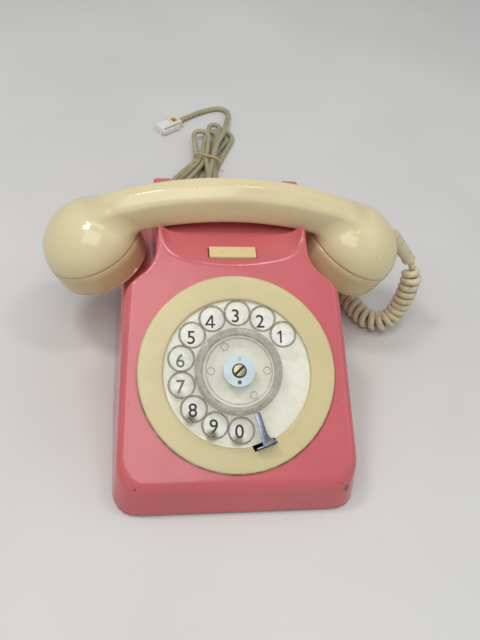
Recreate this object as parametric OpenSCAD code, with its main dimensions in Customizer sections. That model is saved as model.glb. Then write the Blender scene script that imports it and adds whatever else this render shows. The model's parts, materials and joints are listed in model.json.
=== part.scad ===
// Rotary dial desk telephone: moulded case, lift-off handset, curly cord and line cord.
// Units are millimetres. The origin is on the table, under the middle of the telephone.
// +Z is up and the user sits at -Y.

/* [Case] */
// Depth of the case, front to back
case_depth = 210; // [206:1:214]
// Width of the case at the table
case_width = 140; // [138:1:144]
// Height of the front lip above the table
lip_height = 23; // [22:0.5:24]
// Slope of the dial panel in degrees
panel_slope = 30.5; // [30:0.25:31]
// Wall thickness of the mouldings
wall = 2.6; // [2.4:0.1:2.8]
// Height of the case edge above the table
case_lift = 1.25; // [1:0.25:1.5]
// Radius of the front corners seen from above
corner_r = 15; // [12:1:18]

/* [Cradle] */
// Depth position of the handset above the case
cradle_y = 46; // [45:0.5:47]
// Height of the trough that the handset lies over
trough_height = 87.5; // [87:0.25:87.5]
// Height of the two rear horns
rear_horn_height = 101.5; // [100:0.5:103]
// Height of the floor of the hollow between the front horns
scoop_floor = 88.5; // [88.3:0.1:89]
// Diameter of a hook plunger
plunger_d = 5; // [4:0.5:5]

/* [Dial] */
// Distance of the dial centre up the panel from the lip
dial_up = 64.8; // [64:0.2:66]
// Outer diameter of the dial ring
ring_d = 112; // [110:1:113]
// Diameter of the finger plate
plate_d = 81; // [80.6:0.2:81.4]
// Diameter of a finger hole
finger_hole_d = 12.8; // [12.4:0.2:13]
// Radius of the circle of finger holes
finger_circle_r = 32.6; // [32.4:0.1:32.8]
// Number of holes in one full turn at the finger hole spacing
holes_per_turn = 14; // [14:1:14]

/* [Handset] */
// Height of the top of the handle above the table
handle_top = 117.8; // [117.5:0.1:119]
// Radius of the curve along the top of the handle
handle_arc_r = 204; // [202:1:206]
// Thickness of the handle from top to underside
handle_thick = 24; // [23:0.5:24]
// Width of the handle
handle_w = 24.8; // [24:0.2:25]
// Distance of a cup's centre from the middle
cup_x = 82; // [81.5:0.5:83]
// Height of a cup's centre
cup_z = 69.4; // [69:0.2:70]
// Radius of a cup at the seam with its cap
cup_r = 30.2; // [29.8:0.1:30.4]
// Tilt of a cup towards the middle in degrees
cup_tilt = 23; // [22:0.5:24]

/* [Cords] */
// Diameter of the curly handset cord over its turns
curl_d = 14.4; // [13.6:0.2:14.4]
// Diameter of the curly cord's straight end
wire_d = 4.6; // [4.4:0.1:4.8]
// Width of the line cord
line_d = 4.2; // [4:0.1:4.4]

/* [Hidden] */
$fn = 64;

front = -case_depth / 2;
back = case_depth / 2;
half_w = case_width / 2;
draft = 0.118;                 // inward lean of the side walls, mm per mm of height
lip_y = front + 2.4;
horn_y = 28.2;
trough_front = 33;
trough_back = 59.4;
rear_deck_z = 90;
rear_horn_y = [62.5, 71];
rear_horn_x = 34.5;
aperture_r = 45.9;             // hole in the panel for the dial
dial_y = lip_y + dial_up * cos(panel_slope);
dial_z = lip_height + dial_up * sin(panel_slope);
function panel_z(y) = lip_height + (y - lip_y) * tan(panel_slope);

// Plan of the right hollow that a cup hangs in: its edge along the neck, then past the sides
recess_edge = [[100, -30], [60, -1.6], [45.2, 9], [43.1, 29], [43.8, 46], [44.6, 62], [45.2, 83],
               [60, 93.6], [100, 122]];
recess_round = 5;
recess_floor = [44, 58];       // x and height where the hollow's floor meets the neck
scoop_half = 42;               // half width of the hollow between the front horns
scoop_bow = 0.0021;            // gentle rise of its floor, mm per mm squared
scoop_lip = 6.5;               // height that it gains at the horns
scoop_power = 12;
carry = [76, 28];              // width and height of the finger recess in the back
carry_y = 68;
carry_z = 50;

first_hole_angle = 38.8;       // finger hole 1, anticlockwise from the +X direction
hole_step = 360 / holes_per_turn;
plate_under = 5.5;             // height of the finger plate's underside above the panel
plate_top = 8;
stop_angle = 289;
stop_height = 9.2;             // height of the finger stop's blade above the panel
spindle_r = 3;
bearing_gap = 0.05;
main_wheel_r = 16;
pinion_r = 4;
mesh_gap = 0.5;
pinion_x = -(main_wheel_r + pinion_r + mesh_gap);
second_wheel_r = 9;
worm_r = 2;
worm_x = pinion_x - second_wheel_r - worm_r - mesh_gap;
frame_back = -22;              // underside of the dial mechanism, from the panel

plunger_x = 33;
plunger_top = 90.2;
plunger_foot = 60;
lever_pivot = [60.5, 56];
button_y = 16.2;
button_size = [27.4, 8.6];
button_top = 90;
boss_places = [[-52, -78], [52, -78], [-50, 66], [50, 66]];
foot_places = [[-48, -90], [48, -90], [-48, 84], [48, 84]];
base_z = 3;
base_t = 1.6;
deck_z = base_z + base_t;
gong_x = 24;
gong_y = 34;
gong_z = 22;
gong_r = 18.5;
hammer_y = 60;
hammer_z = 30;

handle_axis_z = handle_top - handle_arc_r;
handle_reach = 24.5;             // half angle that the handle spans about its arc's centre
dome_h = 26.5;
cap_h = 19;
grip_axis = 141;               // direction of the cord grip, from +Z towards +X
grip_base = [108, 46, 77];
grip_len = 25;
entry_x = 22;                  // cord entries at the back, one each side
entry_z = 7.5;

// Route of the curly cord, from the handset to the back of the case
curly_route = [[123.8, 46, 57.4], [126.3, 45.9, 54.3], [128, 44.6, 50], [128.2, 42.3, 44], [127.6, 40.5, 37],
               [126.5, 39, 29], [124.5, 37.5, 20], [120, 35.5, 12.5], [113, 34.5, 8.6],
               [106, 37.5, 7.6], [101, 44, 7.5], [97, 53, 7.5], [95, 64, 7.5], [94, 76, 7.5],
               [93, 88, 7.5], [90, 100, 7.5], [84, 111, 7.5], [75, 119, 7.5], [64, 124, 7.5],
               [52, 126, 7.5], [40, 124.5, 7.5], [30, 120.5, 7.5], [24, 115, 7.5], [22, 109, 7.5],
               [22, 105.3, 7.5]];
curly_straight_rings = 4;      // rings of plain wire before the turns start
// Route of the line cord from the case to the hank
lead_route = [[-22, 105.3, 7.5], [-22, 111, 6.9], [-22, 117, 4.6], [-21, 123, 3],
              [-18, 129, 2.6], [-15, 133, 2.6], [-12, 137, 2.6]];
// Route of the line cord from the hank to its plug
tail_route = [[28, 281, 5], [30, 288, 4.4], [31, 295, 3.4], [30, 301, 2.8], [26, 304.5, 2.6],
              [20, 304.5, 2.6], [12, 301, 2.6], [4, 296.5, 2.6], [-4, 290.5, 2.6],
              [-11, 284.5, 3], [-15.6, 280, 3.6]];
hank_circles = [[-7, 160, 25], [4, 211, 12], [17, 268, 19]];
hank_h = 14;
plug_rear = [-15.6, 280];
plug_turn = 217;               // direction of the plug's nose on the table
plug_size = [22, 11.4, 7.2];

case_colour = [0.80, 0.40, 0.44];
ivory = [0.86, 0.80, 0.65];
brass = [0.75, 0.62, 0.30];
steel = [0.70, 0.71, 0.72];
cord_grey = [0.55, 0.53, 0.43];

// ---- shared shapes ----

module on_panel(h = 0)
    translate([0, dial_y, dial_z]) rotate([panel_slope, 0, 0]) translate([0, 0, h]) children();

module mirrored_x() {
    children();
    mirror([1, 0, 0]) children();
}

module at_cup(side)
    mirror([side < 0 ? 1 : 0, 0, 0])
        translate([cup_x, cradle_y, cup_z]) rotate([0, cup_tilt, 0]) children();

module tube(r_out, r_in, h)
    difference() {
        cylinder(r = r_out, h = h);
        translate([0, 0, -1]) cylinder(r = r_in, h = h + 2);
    }

// Swept tube: one ring of points square to the route at each route point
function unit(v) = v / norm(v);
function heading(p, i) = unit(p[min(i + 1, len(p) - 1)] - p[max(i - 1, 0)]);
function ring_side(t) = unit(cross(t, abs(t.z) > 0.9 ? [0, 1, 0] : [0, 0, 1]));
function ring_points(c, side, up, r, n) =
    [for (k = [0:n - 1]) let (a = (k + 0.5) * 360 / n) c + r * (cos(a) * side + sin(a) * up)];
function carried_side(p, i) = i == 0
    ? ring_side(heading(p, 0))
    : let (t = heading(p, i), s = carried_side(p, i - 1)) unit(s - (s * t) * t);

module swept_tube(p, radii, n) {
    rings = [for (i = [0:len(p) - 1])
        let (t = heading(p, i), s = carried_side(p, i))
        ring_points(p[i], s, cross(t, s), radii[i], n)];
    points = [for (r = rings) each r];
    sides = [for (i = [0:len(p) - 2], k = [0:n - 1])
        let (a = i * n + k, b = i * n + (k + 1) % n)
        each [[a, b, b + n], [a, b + n, a + n]]];
    near_cap = [[for (k = [0:n - 1]) n - 1 - k]];
    far_cap = [[for (k = [0:n - 1]) (len(p) - 1) * n + k]];
    polyhedron(points = points, faces = [for (f = concat(sides, near_cap, far_cap))
        [for (k = [len(f) - 1:-1:0]) f[k]]], convexity = 8);
}

// ---- case ----

module side_outline(drop = 0)
    offset(r = 2.2) offset(delta = -2.2)
        polygon([[front - drop * 0.1, case_lift - drop], [lip_y, lip_height],
                 [horn_y, panel_z(horn_y)], [trough_front - 1.6, panel_z(horn_y) - 0.4],
                 [trough_front, trough_height], [trough_back, trough_height],
                 [rear_horn_y[0], rear_horn_height], [rear_horn_y[1], rear_horn_height],
                 [rear_horn_y[1] + 1.5, rear_horn_height - 3], [back, case_lift], [back, case_lift - drop]]);

module front_outline(inset = 0)
    polygon([[-half_w + inset, case_lift - 20], [half_w - inset, case_lift - 20],
             [half_w - inset, case_lift],
             [half_w - inset - draft * 110, case_lift + 110],
             [-half_w + inset + draft * 110, case_lift + 110],
             [-half_w + inset, case_lift]]);

module plan_outline(inset = 0)
    offset(delta = -inset)
        hull()
            for (s = [-1, 1]) {
                translate([s * (half_w - corner_r), front + corner_r]) circle(r = corner_r);
                translate([s * (half_w - corner_r - 3), back - corner_r]) circle(r = corner_r);
            }

module recess_plan(grow)
    offset(r = recess_round + grow) offset(delta = -recess_round) polygon(recess_edge);

// Hollow on each side that lets a cup of the handset hang beside the neck
module cup_recesses(grow = 0)
    mirrored_x()
        intersection() {
            translate([0, 0, 20]) linear_extrude(100) recess_plan(grow);
            translate([recess_floor.x, -40, recess_floor.y - grow]) rotate([0, cup_tilt, 0])
                translate([-30, 0, 0]) cube([140, 170, 110]);
        }

// Nearly flat in the middle, turning up steeply along both sides
function scoop_z(x) =
    scoop_floor + scoop_bow * x * x + scoop_lip * pow(abs(x) / scoop_half, scoop_power);

module scoop(grow = 0)
    translate([0, trough_front + 1, 0]) rotate([90, 0, 0]) linear_extrude(31 + trough_front)
        offset(delta = grow)
            polygon(concat([[44, 150], [-44, 150]], [for (i = [-22:22]) [2 * i, scoop_z(2 * i)]]));

module rear_gap(grow = 0)
    translate([-rear_horn_x - grow, trough_back - 1, rear_deck_z - grow])
        cube([2 * (rear_horn_x + grow), 30, 40]);

module carry_recess(grow = 0)
    translate([-carry.x / 2 - grow, carry_y - grow, carry_z - grow])
        cube([carry.x + 2 * grow, 50, carry.y + 2 * grow]);

module case_block(inset = 0, drop = 0)
    intersection() {
        rotate([90, 0, 90]) linear_extrude(2 * half_w + 20, center = true)
            offset(delta = -inset) side_outline(drop);
        rotate([90, 0, 0]) linear_extrude(case_depth + 20, center = true)
            front_outline(inset);
        translate([0, 0, case_lift - 15]) linear_extrude(130) plan_outline(inset);
    }

module case_outer()
    difference() {
        case_block();
        cup_recesses();
        scoop();
        rear_gap();
        carry_recess();
    }

module case_cavity()
    difference() {
        case_block(inset = wall, drop = 10);
        cup_recesses(wall);
        scoop(wall);
        rear_gap(wall);
        carry_recess(wall);
    }

module case_bosses()
    intersection() {
        case_outer();
        for (p = boss_places)
            translate([p.x, p.y, deck_z + 1]) cylinder(r = 4.2, h = 60);
    }

module case()
    color(case_colour)
        difference() {
            union() {
                difference() {
                    case_outer();
                    case_cavity();
                }
                case_bosses();
            }
            on_panel(-12) cylinder(r = aperture_r, h = 24);
            for (s = [-1, 1]) {
                translate([s * plunger_x, cradle_y, 70]) cylinder(d = plunger_d + 0.2, h = 30);
                translate([s * entry_x, back - 20, entry_z]) rotate([-90, 0, 0])
                    cylinder(r = 4.2, h = 30);
            }
            translate([0, button_y, 90])
                cube([button_size.x + 0.6, button_size.y + 0.6, 20], center = true);
            for (p = boss_places)
                translate([p.x, p.y, 0]) cylinder(r = 1.9, h = 18);
        }

// ---- base ----

module base_plate()
    color("dimgray")
        difference() {
            translate([0, 0, base_z]) linear_extrude(base_t) plan_outline(wall + 1.1);
            for (p = boss_places)
                translate([p.x, p.y, 0]) cylinder(r = 2, h = 10);
            for (p = foot_places)
                translate([p.x, p.y, 0]) cylinder(r = 3.1, h = 10);
            for (s = [-1, 1])
                translate([s * entry_x, back - 20, entry_z]) rotate([-90, 0, 0])
                    cylinder(r = 4.5, h = 30);
        }

module base_screws()
    color("silver")
        for (p = boss_places)
            translate([p.x, p.y, 1.2]) {
                cylinder(r = 3.4, h = base_z - 1.2);
                cylinder(r = 1.8, h = 14);
            }

module rubber_feet()
    color("black")
        for (p = foot_places)
            translate([p.x, p.y, 0]) {
                cylinder(r1 = 7.5, r2 = 8.5, h = base_z);
                cylinder(r = 3, h = base_z + base_t);
                translate([0, 0, deck_z]) cylinder(r = 4.4, h = 1.4);
            }

// ---- dial ----

module dial_ring()
    color([0.80, 0.74, 0.55])
        difference() {
            on_panel() rotate_extrude($fn = 128)
                polygon([[42.5, -2.2], [42.5, 2.0], [43.4, 2.7], [54, 2.5], [ring_d / 2 - 0.5, 1.9],
                         [ring_d / 2, 1], [ring_d / 2, 0], [aperture_r - 0.15, 0],
                         [aperture_r - 0.15, -2.2]]);
            on_panel() rotate([0, 0, stop_angle]) translate([41, -6.6, -5]) cube([3.4, 13.2, 12]);
        }

module number_plate()
    color("ivory")
        on_panel(-1) difference() {
            cylinder(r = 42.3, h = 1.1, $fn = 128);
            translate([0, 0, -1]) cylinder(r = 6.5, h = 4);
            rotate([0, 0, stop_angle]) translate([40.8, -7, -1]) cube([4, 14, 4]);
        }

module at_holes()
    for (i = [0:9])
        rotate([0, 0, first_hole_angle + i * hole_step]) translate([finger_circle_r, 0, 0])
            children();

module finger_plate()
    color([0.88, 0.88, 0.80, 0.7])
        on_panel() difference() {
            union() {
                translate([0, 0, plate_under]) cylinder(d = plate_d, h = plate_top - plate_under, $fn = 128);
                rotate_extrude($fn = 128)
                    polygon([[19.6, plate_top - 1], [20.1, plate_top + 1], [24.1, plate_top + 0.8],
                             [24.7, plate_top - 1]]);
                at_holes() translate([0, 0, plate_under])
                    cylinder(d = finger_hole_d + 1.4, h = plate_top - plate_under + 0.4);
                translate([0, 0, 0.7]) cylinder(r = 6, h = plate_under);
            }
            at_holes() cylinder(d = finger_hole_d, h = 12);
            translate([0, 0, -1]) cylinder(r = spindle_r, h = 10);
        }

module hub_disc()
    color([0.72, 0.78, 0.82])
        on_panel(plate_top) difference() {
            cylinder(r = 8.9, h = 0.7);
            translate([0, 0, -1]) cylinder(r = 1.7, h = 4);
            for (s = [-1, 1])
                translate([0, s * 6.4, -1]) cylinder(r = 1.2, h = 4);
        }

module hub_screw()
    color(brass)
        on_panel(plate_top + 0.7) difference() {
            union() {
                cylinder(r = 3.7, h = 1.3);
                translate([0, 0, -5]) cylinder(r = 1.6, h = 5.5);
            }
            rotate([0, 0, 40]) translate([0, 0, 1.3]) cube([10, 0.9, 1.4], center = true);
        }

module finger_stop()
    color(steel)
        on_panel() rotate([0, 0, stop_angle]) {
            translate([42.8, -5.6, -3.6]) cube([0.9, 11.2, stop_height + 4.5]);
            translate([35, -5.6, -3.6]) cube([8, 11.2, 0.9]);
            translate([0, 0, stop_height]) linear_extrude(0.9)
                polygon([[43.7, -2.4], [43.7, 5.6], [42, 5.4], [40.4, 3.6], [38, 2.1], [34, 1.7],
                         [27.8, 1.5], [27, 0.9], [27, -0.9], [27.8, -1.5], [36, -1.7], [41, -2]]);
        }

module dial_frame()
    color("silver")
        on_panel() difference() {
            union() {
                translate([0, 0, -2.6]) cylinder(r = 42.3, h = 1.6);
                translate([0, 0, -10]) cylinder(r = 5.5, h = 8);
                for (a = [75, 115, 255, 345])
                    rotate([0, 0, a]) translate([31, 0, frame_back]) cylinder(r = 2.4, h = 20);
                translate([0, 0, frame_back]) cylinder(r = 36, h = 1.6);
            }
            translate([0, 0, frame_back - 1]) cylinder(r = spindle_r + bearing_gap, h = 30);
            translate([pinion_x, 0, frame_back - 1]) cylinder(r = 1.6, h = 30);
            translate([worm_x - 10, -12, frame_back - 1]) cube([18.5, 38, 4]);
            rotate([0, 0, stop_angle]) translate([40.8, -7, -4]) cube([4, 14, 5]);
        }

module dial_spindle()
    color(brass)
        on_panel(frame_back - 1) difference() {
            union() {
                cylinder(r = spindle_r, h = plate_top - frame_back + 1);
                translate([0, 0, -1.5]) cylinder(r = 4.5, h = 1.5);
            }
            translate([0, 0, 18]) cylinder(r = 1.7, h = 30);
        }

module main_wheel()
    color(brass)
        on_panel(-14) difference() {
            union() {
                cylinder(r = main_wheel_r, h = 1.6);
                cylinder(r = 6, h = 3.4);
            }
            translate([0, 0, -1]) cylinder(r = spindle_r, h = 8);
            for (a = [0:60:300])
                rotate([0, 0, a]) translate([10.5, 0, -1]) cylinder(r = 3, h = 4);
        }

module return_spring()
    color("steelblue")
        on_panel(-9.4) {
            tube(13, 11.6, 5);
            tube(10.6, 9.2, 5);
            tube(8.2, 6.8, 5);
            translate([6.8, -0.5, 0]) cube([6.2, 1, 5]);
        }

module pinion_shaft()
    color(brass)
        on_panel() translate([pinion_x, 0, 0]) {
            translate([0, 0, frame_back - 1]) cylinder(r = 1.5, h = 19);
            translate([0, 0, -15]) cylinder(r = pinion_r, h = 4);
            translate([0, 0, -19.4]) cylinder(r = second_wheel_r, h = 1.5);
        }

module governor_cup()
    color("darkgoldenrod")
        on_panel(-18.6) translate([worm_x, 13, 0]) rotate([-90, 0, 0])
            difference() {
                cylinder(r = 8, h = 10);
                translate([0, 0, 1.4]) cylinder(r = 6.8, h = 10);
                translate([0, 0, -1]) cylinder(r = 1.6, h = 4);
            }

module governor_rotor()
    color("goldenrod")
        on_panel(-18.6) translate([worm_x, 0, 0]) rotate([-90, 0, 0]) {
            translate([0, 0, -10]) cylinder(r = 1.2, h = 32);
            translate([0, 0, -6]) cylinder(r = worm_r, h = 12);
            translate([0, 0, 16.5]) cylinder(r = 5.6, h = 3);
        }

module pulse_contacts()
    color("tan")
        on_panel() for (i = [0:3])
            translate([17.4 + i * 2.6, -9, -19.8]) {
                cube([1.8, 8, 8]);
                translate([0.7, 8, 3]) cube([0.4, 14, 3]);
            }

module dial_bracket()
    color("silver") {
        for (s = [-1, 1])
            translate([s * 30 - 6, -26, deck_z]) cube([12, 1.5, 37.6]);
        for (s = [-1, 1])
            translate([s * 30 - 6, -26, deck_z]) cube([12, 12, 1.5]);
    }

// ---- cradle, button and hook switch ----

module press_button()
    color(ivory)
        translate([0, button_y, 0]) {
            translate([0, 0, 82.4]) linear_extrude(button_top - 82.4)
                offset(r = 1) square(button_size - [2, 2], center = true);
            translate([0, 0, 81.4]) linear_extrude(1.6) square([33, 12], center = true);
        }

module button_contacts()
    color("tan")
        translate([0, button_y, 0]) {
            translate([-12, -5, 69.4]) cube([24, 10, 6]);
            translate([-14, -2, 75.4]) cube([28, 4, 2.6]);
        }

module plunger(side)
    color("white")
        translate([side * plunger_x, cradle_y, 0]) {
            translate([0, 0, plunger_foot]) cylinder(d = plunger_d, h = plunger_top - 1 - plunger_foot);
            translate([0, 0, plunger_top - 1]) cylinder(d1 = plunger_d, d2 = plunger_d - 1.6, h = 0.8);
            translate([0, 0, plunger_foot + 14]) cylinder(d = plunger_d + 4, h = 1.6);
        }

module plunger_left() plunger(-1);

module plunger_right() plunger(1);

module hook_lever()
    color(steel) {
        translate([0, lever_pivot.x, lever_pivot.y]) rotate([0, 90, 0])
            cylinder(r = 2, h = 75, center = true);
        difference() {
            translate([-34.4, 42, 57.4]) cube([68.8, 18.5, 1.6]);
            translate([-26, 41, 55]) cube([52, 12, 6]);
        }
        translate([-8, 53.4, 50]) cube([16, 1.4, 8]);
    }

module hook_bracket()
    color("silver") {
        for (s = [-1, 1])
            translate([s * 36 - 1, 56.5, deck_z]) difference() {
                cube([2, 8, 56]);
                translate([-1, lever_pivot.x - 56.5, lever_pivot.y - deck_z]) rotate([0, 90, 0])
                    cylinder(r = 2.05, h = 4);
            }
        translate([-36, 33, 40.2]) cube([72, 31, 1.6]);
    }

module hook_contacts()
    color("tan")
        for (i = [0:2])
            translate([-9, 34 + i * 3.4, 41.8]) {
                cube([18, 2.4, 5]);
                translate([2, 1, 5]) cube([14, 0.5, 10]);
            }

// ---- circuit and ringer ----

module circuit_board()
    color("seagreen")
        difference() {
            translate([-45, -66, 9]) cube([90, 38, 1.6]);
            for (s = [-1, 1])
                translate([s * 40, -61, 5]) cylinder(r = 1.7, h = 10);
        }

module speech_transformer()
    color("saddlebrown") {
        translate([-61, -24, deck_z]) cube([22, 5, 22]);
        translate([-61, -7, deck_z]) cube([22, 5, 22]);
        translate([-59, -19, deck_z + 2]) cube([18, 12, 18]);
    }

module capacitor()
    color("lightsteelblue")
        translate([50, -24, deck_z + 9.6]) rotate([-90, 0, 0]) {
            cylinder(r = 9.2, h = 38);
            translate([0, 0, -1.4]) cylinder(r = 2.5, h = 1.4);
        }

module terminal_block()
    color("black") {
        translate([-58, 30, deck_z]) cube([14, 26, 9]);
        for (i = [0:3])
            translate([-51, 34 + i * 6, deck_z + 9]) cylinder(r = 2, h = 1.4);
    }

module ringer_frame()
    color("silver")
        difference() {
            union() {
                translate([-30, 20, deck_z]) cube([60, 50, 1.5]);
                translate([-3, hammer_y - 3, deck_z + 1.5]) cube([6, 6, hammer_z - 4.5 - deck_z]);
                for (s = [-1, 1])
                    translate([s * gong_x, gong_y, deck_z]) cylinder(r = 3, h = gong_z + 8 - deck_z);
            }
            translate([0, hammer_y, hammer_z - 14]) cylinder(r = 1.55, h = 20);
            for (s = [-1, 1])
                translate([s * gong_x, gong_y, gong_z]) cylinder(r = 1.4, h = 20);
        }

module ringer_coils()
    color("firebrick")
        mirrored_x() translate([13, hammer_y + 4, deck_z + 1.5]) {
            cylinder(r = 6.4, h = 17);
            cylinder(r = 2.2, h = 19);
        }

module gong_dome()
    rotate_extrude()
        polygon([[1.5, 8], [9, 8], [15, 6.4], [18, 3], [gong_r, 0], [gong_r - 1.2, 0], [17, 2.4],
                 [14.4, 5.2], [9, 6.8], [1.5, 6.8]]);

module gongs()
    color("gold")
        for (s = [-1, 1])
            translate([s * gong_x, gong_y, gong_z + 1.2]) gong_dome();

module gong_screws()
    color("silver")
        for (s = [-1, 1])
            translate([s * gong_x, gong_y, gong_z + 9.2]) {
                cylinder(r = 3.2, h = 1.6);
                translate([0, 0, -6]) cylinder(r = 1.3, h = 6.2);
            }

module bell_hammer()
    color("dimgray") {
        translate([0, hammer_y, hammer_z - 9]) cylinder(r = 1.5, h = 12);
        translate([-20, hammer_y + 1.5, hammer_z - 2.6]) cube([40, 5, 1.6]);
        translate([-1.6, hammer_y, hammer_z - 2.6]) cube([3.2, 4, 1.6]);
        translate([-0.8, gong_y, hammer_z - 2.6]) cube([1.6, hammer_y - gong_y, 1.6]);
        translate([0, gong_y, hammer_z - 8]) cylinder(r = 2.6, h = 7);
    }

module cord_grommets()
    color("dimgray")
        for (s = [-1, 1])
            translate([s * entry_x, 0, entry_z]) rotate([-90, 0, 0]) {
                translate([0, 0, 98]) cylinder(r = 4.1, h = 7);
                translate([0, 0, 94]) cylinder(r = 2, h = 5);
            }

// ---- handset ----

module handle_section(r_top, h, w)
    polygon([[r_top, -3.5], [r_top, 3.5], [r_top - 6, w / 2 - 1.8], [r_top - 13, w / 2],
             [r_top - h + 3, w / 2 - 1.4], [r_top - h, w / 2 - 5], [r_top - h, -w / 2 + 5],
             [r_top - h + 3, -w / 2 + 1.4], [r_top - 13, -w / 2], [r_top - 6, -w / 2 + 1.8]]);

// Turns a section about the centre of the handle's arc
module handle_arc(reach)
    translate([0, cradle_y, handle_axis_z]) rotate([90, 0, 0])
        rotate([0, 0, 90 - reach]) rotate_extrude(angle = 2 * reach, $fn = 180)
            children();

// Quarter of a stretched circle over a straight neck, turned about the cup's axis
module dome(r, h, neck_r, neck)
    rotate_extrude($fn = 96)
        polygon(concat([[0, -neck], [neck_r, -neck], [neck_r, 0]],
            [for (i = [0:12]) let (a = i * 7.5)
                [i == 12 ? 0 : r * pow(cos(a), 0.9), h * sin(a)]]));

module cup_outside(side)
    at_cup(side) dome(cup_r, dome_h, 26.8, 7);

module cup_inside(side)
    at_cup(side) dome(24.2, dome_h - 5, 24.4, 9);

module grip_place()
    translate(grip_base) rotate([0, grip_axis, 0]) children();

module handset_body()
    color(ivory)
        difference() {
            union() {
                handle_arc(handle_reach) handle_section(handle_arc_r, handle_thick, handle_w);
                for (s = [-1, 1]) cup_outside(s);
            }
            for (s = [-1, 1]) cup_inside(s);
            handle_arc(handle_reach - 1.5)
                translate([handle_arc_r - 17, -5]) square(10);
            grip_place() translate([0, 0, -12]) cylinder(r = 4.7, h = 40);
        }

module cap(holes)
    difference() {
        rotate_extrude($fn = 96)
            polygon([[cup_r, -0.1], [cup_r - 0.4, -9], [cup_r - 1.3, -15.6], [cup_r - 2, -16.2],
                     [cup_r - 2.2, -17.4], [cup_r - 4, -cap_h + 0.2], [cup_r - 7, -cap_h], [0, -cap_h + 1.4],
                     [0, -cap_h + 4], [cup_r - 6.6, -cap_h + 3.2], [cup_r - 3.2, -14],
                     [cup_r - 3.1, -0.1]]);
        for (ring = [0:len(holes) - 1], k = [0:holes[ring] - 1])
            rotate([0, 0, k * 360 / holes[ring]]) translate([ring * 4.5, 0, -cap_h - 1])
                cylinder(r = 1.1, h = 6);
    }

module ear_cap() color(ivory) at_cup(-1) cap([1, 6, 12]);

module mouth_cap() color(ivory) at_cup(1) cap([1, 6]);

module capsule(r, top, bottom) {
    translate([0, 0, bottom]) cylinder(r = r, h = top - bottom);
    translate([0, 0, top]) cylinder(r = r * 0.5, h = 3);
}

module receiver_capsule() color("gray") at_cup(-1) capsule(22.5, -2, -13.5);

module transmitter_capsule() color("gray") at_cup(1) capsule(22.5, 1, -13.5);

module handset_grip_sleeve()
    color(cord_grey)
        grip_place() {
            translate([0, 0, -2]) cylinder(r = 4.6, h = 12);
            translate([0, 0, 9.9]) cylinder(r1 = 4.6, r2 = 4, h = grip_len - 11.6);
            translate([0, 0, grip_len - 1.8]) cylinder(r = 4.6, h = 1.8);
        }

// ---- cords ----

module curly_cord()
    color([0.70, 0.66, 0.54])
        swept_tube(curly_route, [for (i = [0:len(curly_route) - 1])
            i < curly_straight_rings || i == len(curly_route) - 1 ? wire_d / 2 : curl_d / 2], 10);

module line_cord_lead()
    color(cord_grey) swept_tube(lead_route, [for (p = lead_route) line_d / 2], 8);

module line_cord_tail()
    color(cord_grey) swept_tube(tail_route, [for (p = tail_route) line_d / 2], 8);

module hank_outline(grow = 0)
    for (i = [0:1])
        hull()
            for (c = [hank_circles[i], hank_circles[i + 1]])
                translate([c[0], c[1]]) circle(r = c[2] + grow, $fn = 40);

module line_cord_hank()
    color(cord_grey) linear_extrude(hank_h) hank_outline();

module cord_band()
    color("tan")
        intersection() {
            difference() {
                linear_extrude(hank_h + 1.4) hank_outline(1.4);
                translate([0, 0, -1]) linear_extrude(hank_h + 1.2) hank_outline(0.2);
            }
            translate([-30, hank_circles[1].y - 2, 0]) cube([80, 4, 40]);
        }

module plug()
    color("white")
        translate([plug_rear.x, plug_rear.y, 0]) rotate([0, 0, plug_turn]) {
            translate([0.1, -plug_size.y / 2, 0]) cube([9, plug_size.y, plug_size.z]);
            translate([9.1, -plug_size.y / 2 + 1, 0])
                cube([plug_size.x - 9, plug_size.y - 2, plug_size.z - 0.8]);
            translate([4, plug_size.y / 2 + 0.9, 1.5]) cube([plug_size.x - 4, 1.2, 4]);
            translate([plug_size.x - 2.4, plug_size.y / 2 - 1, 1.5]) cube([2.4, 2.5, 4]);
        }

case();
base_plate();
base_screws();
rubber_feet();
dial_ring();
number_plate();
finger_plate();
hub_disc();
hub_screw();
finger_stop();
dial_frame();
dial_spindle();
main_wheel();
return_spring();
pinion_shaft();
governor_cup();
governor_rotor();
pulse_contacts();
dial_bracket();
press_button();
button_contacts();
plunger_left();
plunger_right();
hook_lever();
hook_bracket();
hook_contacts();
circuit_board();
speech_transformer();
capacitor();
terminal_block();
ringer_frame();
ringer_coils();
gongs();
gong_screws();
bell_hammer();
cord_grommets();
handset_body();
ear_cap();
mouth_cap();
receiver_capsule();
transmitter_capsule();
handset_grip_sleeve();
curly_cord();
line_cord_lead();
line_cord_hank();
line_cord_tail();
cord_band();
plug();
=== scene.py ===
import json
import math

import bmesh
import bpy
import numpy as np
from mathutils import Matrix, Vector


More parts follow.
